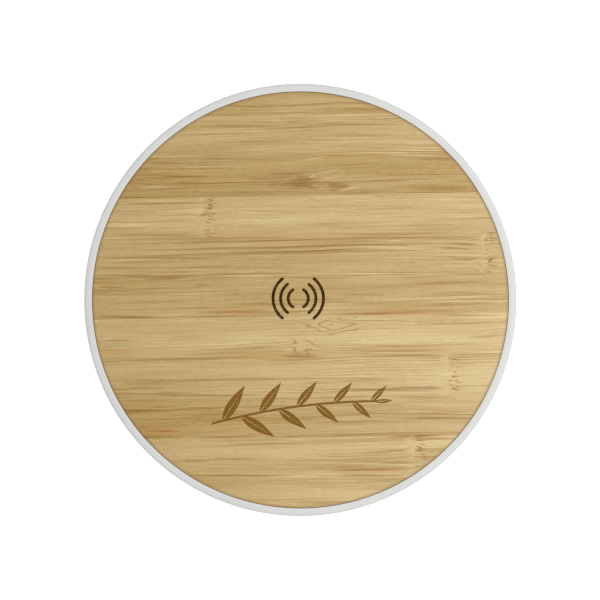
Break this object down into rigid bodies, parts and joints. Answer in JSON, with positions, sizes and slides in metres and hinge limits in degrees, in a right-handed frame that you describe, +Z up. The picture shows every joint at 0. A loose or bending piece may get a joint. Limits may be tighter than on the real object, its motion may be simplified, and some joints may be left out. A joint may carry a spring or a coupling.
{
  "type": "wireless charging pad",
  "caption": "Thin round desktop wireless charging pad with an engraved bamboo top, a white plastic rim and a rear socket.",
  "frame": {"origin": "on the table under the middle of the pad, in the plane of the feet's undersides", "axes": "+Z up through the middle of the pad, +Y towards the charging socket, +X to the right with the socket at the back, along the bamboo's grain"},
  "size_m": [0.1, 0.1, 0.009],
  "materials": {
    "bamboo": "satin, laser engraved",
    "white_abs": "fine satin",
    "rubber": "matte",
    "glue_film": "matte",
    "steel": "bright plated",
    "copper_litz": "satin, enamelled strands",
    "ferrite": "matte",
    "circuit_board": "solder mask",
    "chip_black": "moulded epoxy",
    "socket_black": "moulded",
    "ceramic_tan": "satin",
    "led_white": "smooth",
    "clear_acrylic": "clear, polished end",
    "epoxy_bead": "cured epoxy and enamel"
  },
  "bodies": {
    "root": {"bamboo_top": "bamboo", "top_housing": "white_abs", "base_cover": "white_abs", "top_adhesive": "glue_film", "coil_tape": "glue_film", "charging_coil": "copper_litz", "ferrite_shield": "ferrite", "thermistor_bead": "epoxy_bead", "thermistor_wire_left": "epoxy_bead", "thermistor_wire_right": "epoxy_bead", "main_board": "circuit_board", "socket_shell": "steel", "socket_tongue": "socket_black", "controller_chip": "chip_black", "bridge_chip_1": "chip_black", "bridge_chip_2": "chip_black", "supply_inductor": "ferrite", "clock_crystal": "steel", "status_led": "led_white", "light_pipe": "clear_acrylic", "board_screw_left": "steel", "board_screw_right": "steel", "foot_rear_right": "rubber", "case_screw_rear_right": "steel", "foot_rear_left": "rubber", "case_screw_rear_left": "steel", "foot_front_left": "rubber", "case_screw_front_left": "steel", "foot_front_right": "rubber", "case_screw_front_right": "steel", "resonant_capacitor_1": "ceramic_tan", "resonant_capacitor_2": "ceramic_tan", "resonant_capacitor_3": "ceramic_tan", "resonant_capacitor_4": "ceramic_tan", "supply_capacitor_1": "ceramic_tan", "supply_capacitor_2": "ceramic_tan", "chip_resistor_1": "chip_black", "chip_resistor_2": "chip_black", "chip_resistor_3": "chip_black", "chip_resistor_4": "chip_black", "chip_resistor_5": "chip_black", "chip_resistor_6": "chip_black"}
  },
  "joints": []
}
